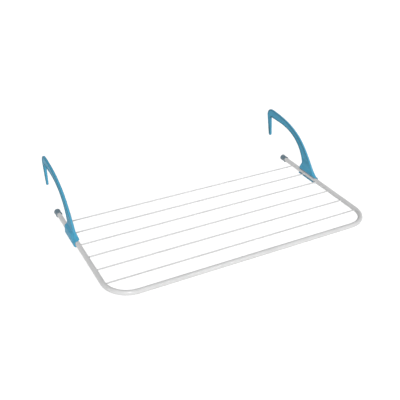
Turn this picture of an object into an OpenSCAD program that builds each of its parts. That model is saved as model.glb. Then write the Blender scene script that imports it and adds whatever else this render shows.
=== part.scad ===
// Hook-over drying rack: a bent U tube strung with straight wires, two moulded hooks that snap on to
// the side tubes and hang over a rail or a wall's top, and two caps that rest against the wall.
// Millimetres. The origin is midway between the rear faces of the caps, at the height of the tube's
// axis. +X runs along the width, -Y points away from the wall and +Z points up.

/* [Frame tube] */
// Width between the axes of the two side tubes
frame_w = 750; // [500:10:1000]
// Distance from the wall to the axis of the front tube
frame_d = 428; // [420:1:480]
// Outer diameter of the tube
tube_d = 13; // [12:0.5:14]
// Wall thickness of the tube
tube_wall = 1; // [0.8:0.1:1.5]
// Radius of the two front bends, at the tube's axis
bend_r = 65; // [40:1:75]

/* [Wires] */
// Diameter of a wire
wire_d = 3.5; // [3:0.1:4]
// Distance from one wire to the next, and from the front tube to the first
wire_pitch = 60; // [50:1:61]

/* [End caps] */
// Outer diameter of a cap
cap_d = 18; // [17:0.5:22]
// Length of a cap
cap_len = 22; // [18:1:26]
// Thickness of the cap's floor, which bears on the wall
cap_floor = 5; // [3:0.5:6]

/* [Hook saddles] */
// Length of the saddle along the tube
saddle_len = 76; // [70:1:80]
// Distance from the wall to the middle of the saddle
saddle_back = 141; // [110:1:170]
// Wall thickness of the saddle round the tube
saddle_wall = 3.2; // [2.5:0.1:4]
// Gap all round between the tube and the saddle
saddle_gap = 0.3; // [0.2:0.05:0.5]

/* [Hook arms] */
// Thickness of the arm
arm_t = 7; // [6:0.5:9]
// Height of the arm's crown above the tube's axis
arm_top = 136; // [125:1:150]
// Depth of the arm at the crown, from its top to its level seat
crown_depth = 25; // [20:1:28]
// Thickness of wall that fits between the caps and the hook's tip
mouth = 71; // [65:1:80]
// Depth of the recess in each side of the arm
recess_depth = 1.6; // [0.5:0.1:2]
// Width of the raised rim round the recess
rim_w = 4.5; // [3:0.5:6]

/* [Hidden] */
$fn = 64;

STEEL_WHITE = [0.90, 0.90, 0.91];
HOOK_BLUE = [0.30, 0.60, 0.74];
CAP_GREY = [0.35, 0.42, 0.46];

side_x = frame_w / 2;
front_y = -frame_d;
bend_y = front_y + bend_r;
tube_r = tube_d / 2;
tube_bore_r = tube_r - tube_wall;
tube_end_y = -cap_floor;

// A wire passes through a hole in the inner wall of each side tube and ends inside the tube
wire_r = wire_d / 2;
weld_gap = 0.02;
wire_end_x = side_x - tube_bore_r + 1;

// Roundings of a cap's rear edge and of its rim
cap_r = cap_d / 2;
cap_gap = 0.02;
cap_round = 3;
rim_round = 1;

bore_r = tube_r + saddle_gap;
saddle_r = bore_r + saddle_wall;
saddle_front = -saddle_back - saddle_len / 2;
saddle_rear = -saddle_back + saddle_len / 2;

// Edges of the slot that the tube snaps in through and the wires run in, measured from the tube's axis
lower_lip_z = -4;
upper_lip = [-6.5, 10.5];
roof_lip = [-1.5, 6.6];

// How far the bore's and the slot's cuts run past the saddle's ends
cut_past = 10;

// The shoulder that carries the arm's foot down to the outer wall of the saddle: the height where it
// meets the arm, its widest points, and the bevel along its bottom
shoulder_z = 24;
shoulder_bulge = [saddle_r - 0.8, 17];
shoulder_side_z = 12;
outer_corner = 4;

// A slanted plane tapers the shoulder's outer side towards the toe: the height where it starts at the
// saddle's front, and its tilt and turn in degrees
taper_z = -6;
taper_tilt = 67;
taper_turn = -19;

// Side view of the saddle's two ends, as [y, z]: upright, then sloped back to meet the arm
toe_face_z = 10;
toe_knee = [saddle_front + 9, 15];
toe_top = [saddle_front + 18, shoulder_z];
heel_face_z = 17;
heel_top = [saddle_rear - 3, shoulder_z];

// Points of the arm's side view, as [y, z]. Below its toe and heel the foot draws in to the tube.
toe = [saddle_front + 13, 18];
heel = [saddle_rear + 5, 12];
toe_inset = 5;
heel_inset = 4;
crown_r = 20;
crown_y = mouth + 5;
seat_z = arm_top - crown_depth;
seat_len = 43;
seat_front = mouth - seat_len;
inner_bend_r = 9;
inner_bend = [mouth - 3, seat_z - inner_bend_r];
tip_r = 6.5;
tip = [mouth + tip_r, 52.5];
curve_steps = 20;

run = crown_y - toe.x;
rise = arm_top - toe.y;
OUTER_EDGE = [
    toe,
    toe + [0.24 * run, 0.58 * rise],
    [crown_y - 0.64 * run, arm_top - 0.03 * rise],
    [crown_y, arm_top]
];
INNER_EDGE = [
    [saddle_rear - 5, 30],
    [saddle_rear + 4, 68],
    [seat_front - 86, seat_z],
    [seat_front, seat_z]
];

// A point on a cubic curve, its direction there, and a point set off to the curve's right
function curve_at(c, t) =
    pow(1 - t, 3) * c[0] + 3 * pow(1 - t, 2) * t * c[1] + 3 * (1 - t) * t * t * c[2] + pow(t, 3) * c[3];
function curve_dir(c, t) =
    pow(1 - t, 2) * (c[1] - c[0]) + 2 * (1 - t) * t * (c[2] - c[1]) + t * t * (c[3] - c[2]);
function curve_beside(c, t, d) =
    let (v = curve_dir(c, t) / norm(curve_dir(c, t))) curve_at(c, t) + d * [v.y, -v.x];
function arc(centre, r, from, to, steps) =
    [for (i = [0:steps]) let (a = from + (to - from) * i / steps) centre + r * [cos(a), sin(a)]];

arm_outline = concat(
    [[toe.x - toe_inset, 0], [toe.x - toe_inset, roof_lip.y]],
    [for (i = [0:curve_steps]) curve_at(OUTER_EDGE, i / curve_steps)],
    arc([crown_y, arm_top - crown_r], crown_r, 80, 0, 6),
    arc(tip, tip_r, 0, -180, 8),
    arc(inner_bend, inner_bend_r, 0, 90, 4),
    [for (i = [0:curve_steps]) curve_at(INNER_EDGE, 1 - i / curve_steps)],
    [heel, [heel.x - heel_inset, roof_lip.y], [heel.x - heel_inset, 0]]
);

// The recess follows both edges of the arm, a rim's width inside them
recess_from = 0.1;
recess_to = 0.97;
function recess_t(i) = recess_from + (recess_to - recess_from) * i / curve_steps;
recess_outline = concat(
    [for (i = [0:curve_steps]) curve_beside(OUTER_EDGE, recess_t(i), rim_w)],
    [for (i = [curve_steps:-1:0]) curve_beside(INNER_EDGE, recess_t(i), -rim_w)]
);

saddle_side_outline = [
    [saddle_front, -2 * saddle_r],
    [saddle_front, toe_face_z],
    toe_knee,
    toe_top,
    heel_top,
    [saddle_rear, heel_face_z],
    [saddle_rear, -2 * saddle_r]
];

shoulder_section = [
    [0, -saddle_r],
    [saddle_r - outer_corner, -saddle_r],
    [saddle_r, outer_corner - saddle_r],
    [saddle_r, shoulder_side_z],
    shoulder_bulge,
    [arm_t / 2, shoulder_z],
    [-arm_t / 2, shoulder_z],
    upper_lip,
    [0, 0]
];

slot_section = [
    [0, lower_lip_z],
    [-2 * saddle_r, lower_lip_z],
    [-2 * saddle_r, upper_lip.y],
    upper_lip,
    roof_lip,
    [0, roof_lip.y]
];

// Side tubes, bends and front tube as one path of radius r, run past the open ends by `past`
module tube_path(r, past) {
    for (side = [-1, 1]) {
        translate([side * side_x, tube_end_y + past, 0])
            rotate([90, 0, 0])
                cylinder(r = r, h = tube_end_y + past - bend_y);
        translate([side * (side_x - bend_r), bend_y, 0])
            rotate([0, 0, side > 0 ? -90 : 180])
                rotate_extrude(angle = 90)
                    translate([bend_r, 0])
                        circle(r = r);
    }
    translate([-side_x + bend_r, front_y, 0])
        rotate([0, 90, 0])
            cylinder(r = r, h = frame_w - 2 * bend_r);
}

module frame_tube() {
    color(STEEL_WHITE)
        difference() {
            tube_path(tube_r, 0);
            tube_path(tube_bore_r, 1);
            for (i = [1:6])
                for (side = [0, 1])
                    mirror([side, 0, 0])
                        translate([side_x - tube_r - 2, front_y + i * wire_pitch, 0])
                            rotate([0, 90, 0])
                                cylinder(r = wire_r + weld_gap, h = tube_r + 2);
        }
}

module wire(i) {
    color(STEEL_WHITE)
        translate([-wire_end_x, front_y + i * wire_pitch, 0])
            rotate([0, 90, 0])
                cylinder(r = wire_r, h = 2 * wire_end_x);
}

// A cup, open towards -Y, with a rounded rim and a rounded edge round its flat rear face
module end_cap(side) {
    color(CAP_GREY)
        translate([side * side_x, 0, 0])
            rotate([90, 0, 0])
                difference() {
                    rotate_extrude()
                        polygon(concat(
                            [[0, 0]],
                            arc([cap_r - cap_round, cap_round], cap_round, -90, 0, 8),
                            arc([cap_r - rim_round, cap_len - rim_round], rim_round, 0, 90, 4),
                            [[0, cap_len]]
                        ));
                    translate([0, 0, cap_floor])
                        cylinder(r = tube_r + cap_gap, h = cap_len);
                }
}

// A side-view outline, extruded across the tube and centred on it
module across(outline, t) {
    rotate([90, 0, 90])
        linear_extrude(height = t, center = true)
            polygon(outline);
}

// A cross-section, extruded along the tube from the front of the saddle to its rear
module along(section, past) {
    translate([0, saddle_rear + past, 0])
        rotate([90, 0, 0])
            linear_extrude(height = saddle_len + 2 * past)
                polygon(section);
}

module toe_taper() {
    reach = 2 * saddle_len;
    translate([saddle_r, saddle_front, taper_z])
        rotate([0, taper_tilt, taper_turn])
            translate([-reach / 2, -reach / 2, 0])
                cube([reach, reach, reach / 2]);
}

module saddle() {
    intersection() {
        union() {
            difference() {
                along(shoulder_section, 0);
                toe_taper();
            }
            translate([0, saddle_rear, 0])
                rotate([90, 0, 0])
                    cylinder(r = saddle_r, h = saddle_len);
        }
        across(saddle_side_outline, 3 * saddle_r);
    }
}

// The hook on the right tube, about that tube's own axis
module hook_body() {
    difference() {
        union() {
            saddle();
            across(arm_outline, arm_t);
        }
        along(slot_section, cut_past);
        translate([0, saddle_rear + cut_past, 0])
            rotate([90, 0, 0])
                cylinder(r = bore_r, h = saddle_len + 2 * cut_past);
        for (side = [-1, 1])
            translate([side * arm_t / 2, 0, 0])
                across(recess_outline, 2 * recess_depth);
    }
}

module hook_right() {
    color(HOOK_BLUE)
        translate([side_x, 0, 0])
            hook_body();
}

module hook_left() {
    color(HOOK_BLUE)
        mirror([1, 0, 0])
            translate([side_x, 0, 0])
                hook_body();
}

frame_tube();
wire(1);  // wire_1
wire(2);  // wire_2
wire(3);  // wire_3
wire(4);  // wire_4
wire(5);  // wire_5
wire(6);  // wire_6
end_cap(-1);  // end_cap_left
end_cap(1);  // end_cap_right
hook_left();
hook_right();
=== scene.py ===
import math

import bmesh
import bpy
from mathutils import Matrix, Vector


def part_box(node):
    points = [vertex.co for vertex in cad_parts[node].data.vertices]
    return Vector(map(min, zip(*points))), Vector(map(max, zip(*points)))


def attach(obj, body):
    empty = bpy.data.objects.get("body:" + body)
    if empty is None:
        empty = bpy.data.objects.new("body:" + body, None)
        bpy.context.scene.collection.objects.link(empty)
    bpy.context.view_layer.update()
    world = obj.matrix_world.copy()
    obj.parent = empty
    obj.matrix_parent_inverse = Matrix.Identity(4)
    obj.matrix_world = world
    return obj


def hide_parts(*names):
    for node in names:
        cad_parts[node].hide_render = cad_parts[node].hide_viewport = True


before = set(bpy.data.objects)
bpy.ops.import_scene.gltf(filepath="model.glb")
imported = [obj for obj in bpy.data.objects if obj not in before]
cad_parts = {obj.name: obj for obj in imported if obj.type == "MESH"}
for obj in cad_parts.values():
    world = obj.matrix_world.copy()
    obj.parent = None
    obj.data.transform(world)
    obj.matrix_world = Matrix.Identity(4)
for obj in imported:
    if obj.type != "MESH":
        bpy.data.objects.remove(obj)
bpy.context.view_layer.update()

# Sizes are in metres, and come from the frame where it states them
MM = 0.001
TUBE_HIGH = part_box("frame_tube")[1]
WIRE_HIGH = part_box("wire_1")[1]
HOOK_LOW, HOOK_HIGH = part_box("hook_right")
CAP_LOW, CAP_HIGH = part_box("end_cap_right")
TUBE_R = TUBE_HIGH[2]
SIDE_X = TUBE_HIGH[0] - TUBE_R
WIRE_R = WIRE_HIGH[2]
WIRE_NODES = ["wire_%d" % i for i in range(1, 7)]
CAP_R = CAP_HIGH[2]
CAP_LEN = CAP_HIGH[1] - CAP_LOW[1]

ARM_T = 7 * MM
ARM_TOP = HOOK_HIGH[2]
SADDLE_R = -HOOK_LOW[2]
SADDLE_BORE_R = TUBE_R + 0.3 * MM
SADDLE_FRONT = HOOK_LOW[1]
SADDLE_REAR = SADDLE_FRONT + 76 * MM
TIP_BACK = HOOK_HIGH[1]


# ---------------------------------------------------------------- node material helpers

# Distances from a moulding's middle plane over which the parting line fades out, the arm's web turns
# into its rims, and the painted shade on the rims ends, and the heights over which that painted shade sets
# in
PARTING_LINE = (0.1 * MM, 0.4 * MM)
WEB_TO_RIM = (2.0 * MM, 2.6 * MM)
RIM_SHADE_FADE = (3.7 * MM, 4.5 * MM)
RIM_SHADE_HEIGHTS = (30 * MM, 55 * MM)


class Nodes:
    """A material's node tree, with short calls for adding nodes and joining them."""

    def __init__(self, name):
        self.material = bpy.data.materials.new(name)
        self.material.use_nodes = True
        self.tree = self.material.node_tree
        self.shader = self.tree.nodes["Principled BSDF"]
        self.place = self.tree.nodes.new("ShaderNodeTexCoord").outputs["Object"]

    def add(self, kind, inputs=None, **settings):
        node = self.tree.nodes.new(kind)
        for key, value in settings.items():
            setattr(node, key, value)
        for key, value in (inputs or {}).items():
            self.put(node.inputs[key], value)
        return node

    def put(self, socket, value):
        if isinstance(value, bpy.types.NodeSocket):
            self.tree.links.new(value, socket)
        else:
            socket.default_value = value

    def noise(self, scale, detail=2.0, rough=0.5, stretch=(1, 1, 1)):
        at = self.add("ShaderNodeMapping", {"Vector": self.place, "Scale": stretch})
        inputs = {"Vector": at.outputs[0], "Scale": scale, "Detail": detail, "Roughness": rough}
        return self.add("ShaderNodeTexNoise", inputs).outputs["Fac"]

    def spread(self, value, low, high, out_low=0.0, out_high=1.0):
        """Stretches low to high over out_low to out_high, and holds it there beyond them."""
        inputs = {"Value": value, "From Min": low, "From Max": high, "To Min": out_low, "To Max": out_high}
        return self.add("ShaderNodeMapRange", inputs).outputs["Result"]

    def mix(self, amount, a, b):
        node = self.add("ShaderNodeMix", data_type="RGBA")
        self.put(node.inputs[0], amount)
        self.put(node.inputs[6], a)
        self.put(node.inputs[7], b)
        return node.outputs[2]

    def math(self, how, a, b=0.0):
        return self.add("ShaderNodeMath", {0: a, 1: b}, operation=how).outputs[0]

    def along(self, axis):
        return self.add("ShaderNodeSeparateXYZ", {0: self.place}).outputs[axis]

    def off_middle(self):
        """Distance from the upright middle plane of the side tube that a piece is on."""
        return self.math("ABSOLUTE", self.math("SUBTRACT", self.math("ABSOLUTE", self.along("X")), SIDE_X))

    def parting_line(self):
        """1 on the thin line that the two halves of the mould leave round a piece's middle plane."""
        return self.spread(self.off_middle(), *PARTING_LINE, 1.0, 0.0)

    def rims(self):
        """1 on the raised rims and edges of a hook's arm, where painted shade darkens them, and 0 on its
        recessed web and its saddle.
        """
        off = self.off_middle()
        raised = self.math("MULTIPLY", self.spread(off, *WEB_TO_RIM),
                           self.spread(off, *RIM_SHADE_FADE, 1.0, 0.0))
        return self.math("MULTIPLY", raised, self.spread(self.along("Z"), *RIM_SHADE_HEIGHTS))

    def bump(self, height, distance, strength, normal=None):
        inputs = {"Height": height, "Distance": distance, "Strength": strength}
        if normal is not None:
            inputs["Normal"] = normal
        return self.add("ShaderNodeBump", inputs).outputs["Normal"]

    def finish(self, **sockets):
        for key, value in sockets.items():
            self.put(self.shader.inputs[key.replace("_", " ")], value)
        return self.material


def srgb(r, g, b):
    """Linear colour, with alpha, from 0-255 sRGB values."""
    def linear(c):
        c = c / 255
        return c / 12.92 if c <= 0.04045 else ((c + 0.055) / 1.055) ** 2.4
    return (linear(r), linear(g), linear(b), 1.0)


def powder_coat(name, colour, shade, peel_scale):
    """White enamel on steel: orange peel, cloudy gloss, a little grime and faint scuffs along the tube."""
    n = Nodes(name)
    cloud = n.noise(18, 3, 0.6)
    grime = n.noise(140, 4, 0.7)
    scuff = n.noise(260, 3, 0.6, (1, 0.04, 1))
    tone = n.mix(n.spread(cloud, 0.3, 0.7, 0.0, 0.6), colour, shade)
    tone = n.mix(n.spread(grime, 0.62, 0.8, 0.0, 0.35), tone, shade)
    tone = n.mix(n.spread(scuff, 0.66, 0.74, 0.0, 0.3), tone, shade)
    normal = n.bump(n.noise(peel_scale), 0.03 * MM, 0.3)
    rough = n.spread(cloud, 0.25, 0.75, 0.42, 0.54)
    return n.finish(Base_Color=tone, Roughness=rough, Normal=normal, Specular_IOR_Level=0.3,
                    Coat_Weight=0.25, Coat_Roughness=0.1)


def moulded_plastic(name, colour, dark, light, grain, rough, shine, rim=None):
    """Injection-moulded plastic: spark grain, flow clouds, rubbed patches and, if given, painted shade
    that darkens the rims.
    """
    n = Nodes(name)
    flow = n.noise(22, 3, 0.55, (1, 0.45, 1))
    rub = n.noise(70, 4, 0.65)
    tone = n.mix(n.spread(flow, 0.3, 0.7, 0.0, 0.6), colour, dark)
    tone = n.mix(n.spread(rub, 0.6, 0.8, 0.0, 0.3), tone, light)
    if rim:
        # Painted shade: the rim colour darkens the arm's raised rims and edges in place of the shade that
        # falls there
        tone = n.mix(n.rims(), tone, rim)
    normal = n.bump(n.noise(grain), 0.03 * MM, 0.35)
    normal = n.bump(n.parting_line(), 0.3 * MM, 0.6, normal)
    rubbed = n.spread(rub, 0.3, 0.7, rough - 0.05, rough + 0.07)
    return n.finish(Base_Color=tone, Roughness=rubbed, Normal=normal, Specular_IOR_Level=shine)


WHITE_TUBE = powder_coat("powder_coat_white", srgb(184, 184, 184), srgb(171, 171, 171), peel_scale=700)
WHITE_WIRE = powder_coat("wire_coat_white", srgb(178, 178, 178), srgb(166, 166, 166), peel_scale=1400)
# The rim colour is painted shade for the arm's rims, not a tone of the plastic
BLUE = moulded_plastic("blue_polypropylene", srgb(63, 139, 168), srgb(51, 124, 154), srgb(89, 153, 178),
                       grain=2600, rough=0.46, shine=0.2, rim=srgb(49, 105, 124))
GREY = moulded_plastic("slate_plastic", srgb(90, 108, 118), srgb(76, 92, 102), srgb(114, 132, 142),
                       grain=2200, rough=0.18, shine=0.5)


# ---------------------------------------------------------------- mesh helpers

def new_object(name, bm, material):
    mesh = bpy.data.meshes.new(name)
    bmesh.ops.recalc_face_normals(bm, faces=bm.faces)
    bm.to_mesh(mesh)
    bm.free()
    mesh.polygons.foreach_set("use_smooth", [True] * len(mesh.polygons))
    mesh.materials.append(material)
    obj = bpy.data.objects.new(name, mesh)
    bpy.context.scene.collection.objects.link(obj)
    return obj


def apply_modifiers(obj):
    """Replaces the object's mesh with its evaluated one and clears its modifiers."""
    graph = bpy.context.evaluated_depsgraph_get()
    mesh = bpy.data.meshes.new_from_object(obj.evaluated_get(graph))
    obj.modifiers.clear()
    obj.data = mesh


def arc(centre, r, start, end, steps):
    """Points on an arc, from one angle to another in degrees."""
    out = []
    for i in range(steps + 1):
        a = math.radians(start + (end - start) * i / steps)
        out.append(Vector((centre[0] + r * math.cos(a), centre[1] + r * math.sin(a))))
    return out


def curve_at(c, t):
    """The point at t on a cubic curve."""
    u = 1 - t
    return u ** 3 * c[0] + 3 * u * u * t * c[1] + 3 * u * t * t * c[2] + t ** 3 * c[3]


def prism(bm, outline, place):
    """A closed prism: `place(point, end)` puts each outline point at end 0 and at end 1."""
    near = [bm.verts.new(place(p, 0)) for p in outline]
    far = [bm.verts.new(place(p, 1)) for p in outline]
    bm.faces.new(near)
    bm.faces.new(list(reversed(far)))
    for i in range(len(outline)):
        j = (i + 1) % len(outline)
        bm.faces.new((near[j], near[i], far[i], far[j]))


def loft(bm, rings):
    """Joins rings of equal point counts into a tube, with flat ends."""
    rows = [[bm.verts.new(p) for p in ring] for ring in rings]
    for a, b in zip(rows, rows[1:]):
        for i in range(len(a)):
            j = (i + 1) % len(a)
            bm.faces.new((a[i], a[j], b[j], b[i]))
    bm.faces.new(list(reversed(rows[0])))
    bm.faces.new(rows[-1])


def turn(bm, profile, place, steps):
    """Turns a closed profile of (radius, along) points; `place(radius, angle, along)` puts each one."""
    rows = []
    for i in range(steps):
        angle = 2 * math.pi * i / steps
        rows.append([bm.verts.new(place(r, angle, s)) for r, s in profile])
    for i in range(steps):
        a, b = rows[i], rows[(i + 1) % steps]
        for k in range(len(profile)):
            m = (k + 1) % len(profile)
            bm.faces.new((a[k], b[k], b[m], a[m]))


# ---------------------------------------------------------------- hooks

# Side view of the arm as (y, z), about the tube's axis
CROWN_R = 20 * MM
CROWN = Vector((TIP_BACK - CROWN_R, ARM_TOP))
SEAT_Z = ARM_TOP - 25 * MM
MOUTH = CROWN.x - 5 * MM
SEAT_FRONT = MOUTH - 43 * MM
TOE = Vector((SADDLE_FRONT + 13 * MM, 18 * MM))
HEEL = Vector((SADDLE_REAR + 5 * MM, 12 * MM))
TIP_R = 6.5 * MM
TIP = Vector((MOUTH + TIP_R, 52.5 * MM))
BEND_R = 9 * MM
BEND = Vector((MOUTH - 3 * MM, SEAT_Z - BEND_R))
RUN = CROWN.x - TOE.x
RISE = ARM_TOP - TOE.y
OUTER_EDGE = [TOE, TOE + Vector((0.24 * RUN, 0.58 * RISE)),
              Vector((CROWN.x - 0.64 * RUN, ARM_TOP - 0.03 * RISE)), CROWN]
INNER_EDGE = [Vector((SADDLE_REAR - 5 * MM, 30 * MM)), Vector((SADDLE_REAR + 4 * MM, 68 * MM)),
              Vector((SEAT_FRONT - 86 * MM, SEAT_Z)), Vector((SEAT_FRONT, SEAT_Z))]

# Below its toe and heel the arm's foot draws in, and ends inside the saddle's roof
FOOT_Z = 8.6 * MM
FOOT_OUTER = [Vector((TOE.x - 4.6 * MM, FOOT_Z)), Vector((TOE.x - 3.2 * MM, FOOT_Z + 4 * MM)),
              Vector((TOE.x - 1.4 * MM, FOOT_Z + 7 * MM))]
FOOT_INNER = [Vector((HEEL.x - 3.6 * MM, FOOT_Z)), HEEL, HEEL.lerp(INNER_EDGE[0], 0.5)]

# Numbers of steps along the arm, and round the saddle's bore, its outside and its rounded underside
ARM_STEPS = 56
SEAT_STEPS = 6
BEND_STEPS = 10
LEG_STEPS = 16
TIP_STEPS = 6
BORE_STEPS = 36
RING_STEPS = 48
UNDERSIDE_STEPS = 12

# The arm's section: a web between two raised rims with rounded edges, thinner towards the tip
RIM_W = 4.4 * MM
RIM_SLOPE = 1.2 * MM
RECESS = 1.6 * MM
EDGE_R = 1.9 * MM
# How far the middle of a rounded edge lies inside the sharp one, in radii
EDGE_INSET = 0.29
# Largest shares of the arm's breadth that a rim, its slope and a rounded edge take
RIM_SHARE, SLOPE_SHARE, EDGE_SHARE = 0.24, 0.06, 0.16
TIP_THINNING = 0.22
# The recess deepens between two of the first stations, and fades between two shares of the leg
RECESS_DEEPENS = (6, 12)
RECESS_FADES = (0.15, 0.7)

# Cross-section of the saddle and of its shoulder as (x, z), about the tube's axis
LOWER_LIP_Z = -4 * MM
ROOF_LIP = Vector((-1.5, 6.6)) * MM
UPPER_LIP = Vector((-6.5, 10.5)) * MM
SHOULDER_Z = 24 * MM
SHOULDER_BULGE = Vector((SADDLE_R - 0.8 * MM, 17 * MM))
SHOULDER_SIDE = Vector((SADDLE_R, 12 * MM))
OUTER_CORNER = 4 * MM

# Planes that trim the shoulder, each as a point and an outward normal. The toe steps down in two
# slopes, a ledge and a ramp, the heel in one, and the outer side tapers towards the toe.
TOE_LEDGE = ((0, SADDLE_FRONT, 10 * MM), (0, -5, 9))
TOE_RAMP = ((0, SADDLE_FRONT + 9 * MM, 15 * MM), (0, -1, 1))
HEEL_RAMP = ((0, SADDLE_REAR, 17 * MM), (0, 7, 3))
TILT, TURN = math.radians(67), math.radians(-19)
SLANT = (math.sin(TILT) * math.cos(TURN), math.sin(TILT) * math.sin(TURN), math.cos(TILT))
SIDE_TAPER = ((SADDLE_R, SADDLE_FRONT, -6 * MM), SLANT)

# Fusing and easing of the hook's skin
VOXEL = 0.55 * MM
EASE_PASSES = 9
KEPT_FACES = 0.3


def arm_stations():
    """Pairs of points on the arm's outer and inner edges, from its foot to its tip."""
    pairs = list(zip(FOOT_OUTER, FOOT_INNER))
    for i in range(ARM_STEPS + 1):
        t = i / ARM_STEPS
        pairs.append((curve_at(OUTER_EDGE, t), curve_at(INNER_EDGE, t)))
    crown = arc((CROWN.x, ARM_TOP - CROWN_R), CROWN_R, 90, 0, SEAT_STEPS + BEND_STEPS)
    seat_from, seat_to = Vector((SEAT_FRONT, SEAT_Z)), Vector((BEND.x, SEAT_Z))
    seat = [seat_from.lerp(seat_to, i / SEAT_STEPS) for i in range(1, SEAT_STEPS + 1)]
    inside = seat + arc(BEND, BEND_R, 90, 0, BEND_STEPS)[1:]
    pairs += list(zip(crown[1:], inside))
    back = (Vector((TIP_BACK, ARM_TOP - CROWN_R)), Vector((TIP.x + TIP_R, TIP.y)))
    front = (Vector((BEND.x + BEND_R, BEND.y)), Vector((TIP.x - TIP_R, TIP.y)))
    for i in range(1, LEG_STEPS + 1):
        pairs.append((back[0].lerp(back[1], i / LEG_STEPS), front[0].lerp(front[1], i / LEG_STEPS)))
    for i in range(1, TIP_STEPS):
        a = math.radians(90 * i / TIP_STEPS)
        drop = Vector((0, TIP_R * math.sin(a)))
        half = Vector((TIP_R * math.cos(a), 0))
        pairs.append((TIP + half - drop, TIP - half - drop))
    return pairs


def ease(t, start, end):
    """0 before start and 1 after end, smooth between."""
    t = min(max((t - start) / (end - start), 0), 1)
    return t * t * (3 - 2 * t)


def arm_mesh(bm):
    """The arm as one loft through its stations."""
    pairs = arm_stations()
    leg_len = LEG_STEPS + TIP_STEPS - 1
    leg_start = len(pairs) - leg_len
    rings = []
    for i, (out, inn) in enumerate(pairs):
        down_leg = (i - leg_start) / leg_len
        half = ARM_T / 2 * (1 - TIP_THINNING * ease(down_leg, 0, 1))
        deep = RECESS * ease(i, *RECESS_DEEPENS) * (1 - ease(down_leg, *RECESS_FADES))
        breadth = (inn - out).length
        rim = min(RIM_W, breadth * RIM_SHARE)
        slope = min(RIM_SLOPE, breadth * SLOPE_SHARE)
        r = min(EDGE_R, breadth * EDGE_SHARE)
        near = [(0, half - r), (EDGE_INSET * r, half - EDGE_INSET * r), (r, half),
                (rim, half), (rim + slope, half - deep)]
        along = near + [(breadth - b, x) for b, x in reversed(near)]
        section = along + [(b, -x) for b, x in reversed(along)]
        across = (inn - out) / breadth
        rings.append([(x, out.x + b * across.x, out.y + b * across.y) for b, x in section])
    loft(bm, rings)


def add_part(bm, part):
    """Adds another bmesh's faces to bm."""
    mesh = bpy.data.meshes.new("part")
    part.to_mesh(mesh)
    part.free()
    bm.from_mesh(mesh)
    bpy.data.meshes.remove(mesh)


def cut(part, point, normal):
    """Cuts away what lies beyond a plane, and closes the cut."""
    geometry = part.verts[:] + part.edges[:] + part.faces[:]
    bmesh.ops.bisect_plane(part, geom=geometry, plane_co=point, plane_no=normal, clear_outer=True)
    bmesh.ops.holes_fill(part, edges=[e for e in part.edges if e.is_boundary])


def saddle_mesh(bm):
    """The C-shaped saddle that snaps over the tube, and the shoulder that joins it to the arm."""
    low_angle = 180 + math.degrees(math.asin(-LOWER_LIP_Z / SADDLE_BORE_R))
    roof_angle = 360 + math.degrees(math.atan2(ROOF_LIP.y, ROOF_LIP.x))
    ring_angle = 180 + math.degrees(math.asin(-LOWER_LIP_Z / SADDLE_R))
    bore = arc((0, 0), SADDLE_BORE_R, low_angle, roof_angle, BORE_STEPS)
    ring = bore + arc((0, 0), SADDLE_R, roof_angle, ring_angle, RING_STEPS)
    section = bore + [UPPER_LIP, Vector((-ARM_T / 2, SHOULDER_Z)), Vector((ARM_T / 2, SHOULDER_Z))]
    section += [SHOULDER_BULGE, SHOULDER_SIDE, Vector((SADDLE_R, OUTER_CORNER - SADDLE_R)),
                Vector((SADDLE_R - OUTER_CORNER, -SADDLE_R))]
    section += arc((0, 0), SADDLE_R, 270, ring_angle, UNDERSIDE_STEPS)

    def place(p, end):
        return (p.x, SADDLE_REAR if end else SADDLE_FRONT, p.y)

    prism(bm, ring, place)
    for toe in (TOE_LEDGE, TOE_RAMP):
        shoulder = bmesh.new()
        prism(shoulder, section, place)
        for point, normal in (toe, HEEL_RAMP, SIDE_TAPER):
            cut(shoulder, point, normal)
        add_part(bm, shoulder)


def hook_shell():
    """One hook about the tube's axis, opening towards -X: arm and saddle fused and their edges eased."""
    bm = bmesh.new()
    arm_mesh(bm)
    saddle_mesh(bm)
    shell = new_object("hook_shell", bm, BLUE)
    fuse = shell.modifiers.new("fuse", "REMESH")
    fuse.mode = "VOXEL"
    fuse.voxel_size = VOXEL
    fuse.use_smooth_shade = True
    ease_edges = shell.modifiers.new("ease", "SMOOTH")
    ease_edges.factor = 0.5
    ease_edges.iterations = EASE_PASSES
    apply_modifiers(shell)
    thin = shell.modifiers.new("thin", "DECIMATE")
    thin.ratio = KEPT_FACES
    apply_modifiers(shell)
    return shell


def make_hooks():
    """The right hook, and the left one as its mirror image."""
    shell = hook_shell()
    for side, name in ((1, "right"), (-1, "left")):
        mesh = shell.data.copy()
        mesh.transform(Matrix.Translation((side * SIDE_X, 0, 0)) @ Matrix.Diagonal((side, 1, 1, 1)))
        if side < 0:
            mesh.flip_normals()
        mesh.polygons.foreach_set("use_smooth", [True] * len(mesh.polygons))
        mesh.materials.clear()
        mesh.materials.append(BLUE)
        hook = bpy.data.objects.new("moulded_hook_" + name, mesh)
        bpy.context.scene.collection.objects.link(hook)
        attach(hook, name + "_hook")
        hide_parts("hook_" + name)
    bpy.data.objects.remove(shell)


# ---------------------------------------------------------------- end caps

# Profile of a cap as (radius, distance from its rear face)
CAP_BORE_R = TUBE_R + 0.02 * MM
CAP_FLOOR = 5 * MM
DISH_R, DISH_EDGE_R, DISH_DEPTH = 2.5 * MM, 3.2 * MM, 0.5 * MM
HEEL_R = 3 * MM
HEEL_END, BARREL_START, BARREL_END = 6 * MM, 7.2 * MM, CAP_LEN - 3.4 * MM
BARREL_R = CAP_R - 0.5 * MM
RIM_R, RIM_END = 1.1 * MM, CAP_LEN - 0.2 * MM
FLARE = 0.7 * MM
ROUND_STEPS = 8
CAP_STEPS = 72


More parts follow.
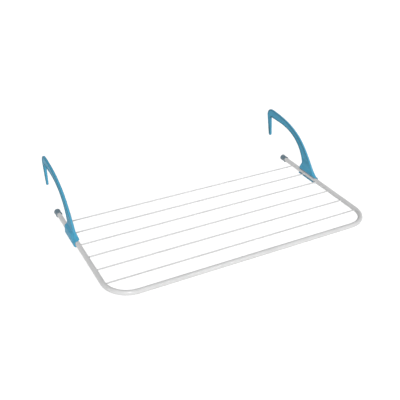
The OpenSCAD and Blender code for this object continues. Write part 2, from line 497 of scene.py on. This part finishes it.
def cap_profile():
    """A flat foot with a dished centre, a rounded heel, a barrel and a lipped rim round the bore."""
    heel = arc((CAP_R - HEEL_R, HEEL_R), HEEL_R, -75, 0, ROUND_STEPS)
    rim = arc((CAP_R - RIM_R, RIM_END - RIM_R), RIM_R, -60, 90, ROUND_STEPS)
    profile = [(0, DISH_DEPTH), (DISH_R, DISH_DEPTH), (DISH_EDGE_R, 0.0), (CAP_R - HEEL_R, 0.0)]
    profile += [(p.x, p.y) for p in heel]
    profile += [(CAP_R, HEEL_END), (BARREL_R, BARREL_START), (BARREL_R, BARREL_END)]
    profile += [(p.x, p.y) for p in rim]
    profile += [(CAP_BORE_R + FLARE, RIM_END), (CAP_BORE_R, RIM_END - FLARE)]
    profile += [(CAP_BORE_R, CAP_FLOOR), (0, CAP_FLOOR)]
    return profile


def make_cap(side, name):
    def place(r, angle, distance):
        return (side * SIDE_X + r * math.cos(angle), -distance, r * math.sin(angle))

    bm = bmesh.new()
    turn(bm, cap_profile(), place, CAP_STEPS)
    bmesh.ops.remove_doubles(bm, verts=bm.verts, dist=1e-6)
    cap = new_object("moulded_cap_" + name, bm, GREY)
    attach(cap, "frame")
    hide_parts("end_cap_" + name)


# ---------------------------------------------------------------- frame

# Profile of a weld's fillet: distance from the wire's axis in wire radii, and height above the tube
WELD_PROFILE = [(0.85, -0.5 * MM), (0.98, 1.7 * MM), (1.12, 1.35 * MM), (1.35, 0.75 * MM),
                (1.65, 0.3 * MM), (2.0, 0.05 * MM), (2.1, -0.5 * MM)]
WELD_STEPS = 36


def make_weld(node):
    """Small coated fillets round the two ends of a wire, where it enters the side tubes."""
    low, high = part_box(node)
    y0 = (low[1] + high[1]) / 2
    bm = bmesh.new()
    for side in (-1, 1):
        def place(r, angle, lift):
            z = WIRE_R * r * math.sin(angle)
            skin = SIDE_X - math.sqrt(TUBE_R ** 2 - z * z)
            return (side * (skin - lift), y0 + WIRE_R * r * math.cos(angle), z)

        turn(bm, WELD_PROFILE, place, WELD_STEPS)
    weld = new_object("weld_" + node, bm, WHITE_TUBE)
    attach(weld, "frame")


def dress(node, material):
    """Gives a CAD node's object another material."""
    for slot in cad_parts[node].material_slots:
        slot.material = material


# ---------------------------------------------------------------- room, light and camera

FLOOR_Z = -0.75
FLOOR_HALF = 40

# Each sun as its name, the place that it shines from, its strength and its width in degrees
SUNS = [("key", (-0.7, -1.8, 1.05), 2.75, 26), ("gleam", (0.9, -1.8, 1.3), 0.6, 10),
        ("top", (0.2, 0.1, 2.0), 1.0, 60)]
RACK_MIDDLE = Vector((0, -0.2, 0))

# The surround is white below the first height in the sky, and dim above the second
WHITE_BELOW, DIM_ABOVE, DIM = 0.12, 0.3, 0.25

CAMERA_PLACE = Vector((-0.753, -1.560, 0.9585))
YAW, PITCH, ROLL = math.radians(27.42), math.radians(29.32), math.radians(0.34)


def make_floor():
    bm = bmesh.new()
    bmesh.ops.create_grid(bm, x_segments=8, y_segments=8, size=FLOOR_HALF)
    n = Nodes("pale_floor")
    cloud = n.spread(n.noise(0.6), 0.3, 0.7)
    tone = n.mix(cloud, (0.93, 0.93, 0.93, 1), (0.95, 0.95, 0.95, 1))
    floor = new_object("floor", bm, n.finish(Base_Color=tone, Roughness=0.9, Specular_IOR_Level=0.1))
    floor.location = (0, 0, FLOOR_Z)


def add_sun(name, place, strength, width):
    """A sun that shines from `place` towards the middle of the rack."""
    data = bpy.data.lights.new(name, "SUN")
    data.energy = strength
    data.angle = math.radians(width)
    sun = bpy.data.objects.new(name, data)
    sun.location = place
    sun.rotation_euler = (RACK_MIDDLE - Vector(place)).to_track_quat("-Z", "Y").to_euler()
    bpy.context.scene.collection.objects.link(sun)


def surround():
    """A world that is white at the horizon, so that the floor has no edge, and dimmer overhead."""
    world = bpy.data.worlds.new("studio")
    world.use_nodes = True
    tree = world.node_tree
    background = tree.nodes["Background"]
    background.inputs["Color"].default_value = (1, 1, 1, 1)
    direction = tree.nodes.new("ShaderNodeTexCoord").outputs["Generated"]
    up = tree.nodes.new("ShaderNodeSeparateXYZ")
    fade = tree.nodes.new("ShaderNodeMapRange")
    fade.inputs["From Min"].default_value = WHITE_BELOW
    fade.inputs["From Max"].default_value = DIM_ABOVE
    fade.inputs["To Min"].default_value = 1.0
    fade.inputs["To Max"].default_value = DIM
    tree.links.new(direction, up.inputs[0])
    tree.links.new(up.outputs["Z"], fade.inputs["Value"])
    tree.links.new(fade.outputs["Result"], background.inputs["Strength"])
    return world


def make_camera():
    """Above and to the left of the rack, in front of it, looking down across it towards the wall."""
    ahead = Vector((math.sin(YAW) * math.cos(PITCH), math.cos(YAW) * math.cos(PITCH), -math.sin(PITCH)))
    right = Vector((math.cos(YAW), -math.sin(YAW), 0))
    up = right.cross(ahead)
    level_right = right * math.cos(ROLL) + up * math.sin(ROLL)
    level_up = up * math.cos(ROLL) - right * math.sin(ROLL)
    data = bpy.data.cameras.new("camera")
    data.sensor_width = 36
    data.lens = 59.14
    data.shift_x = 0.0131
    data.shift_y = -0.0349
    camera = bpy.data.objects.new("camera", data)
    turned = Matrix((level_right, level_up, -ahead)).transposed().to_4x4()
    camera.matrix_world = Matrix.Translation(CAMERA_PLACE) @ turned
    bpy.context.scene.collection.objects.link(camera)
    bpy.context.scene.camera = camera


make_camera()
dress("frame_tube", WHITE_TUBE)
for wire in WIRE_NODES:
    dress(wire, WHITE_WIRE)
    make_weld(wire)
make_cap(1, "right")
make_cap(-1, "left")
make_hooks()
make_floor()
for sun in SUNS:
    add_sun(*sun)
bpy.context.scene.world = surround()
bpy.context.scene.view_settings.view_transform = "Standard"
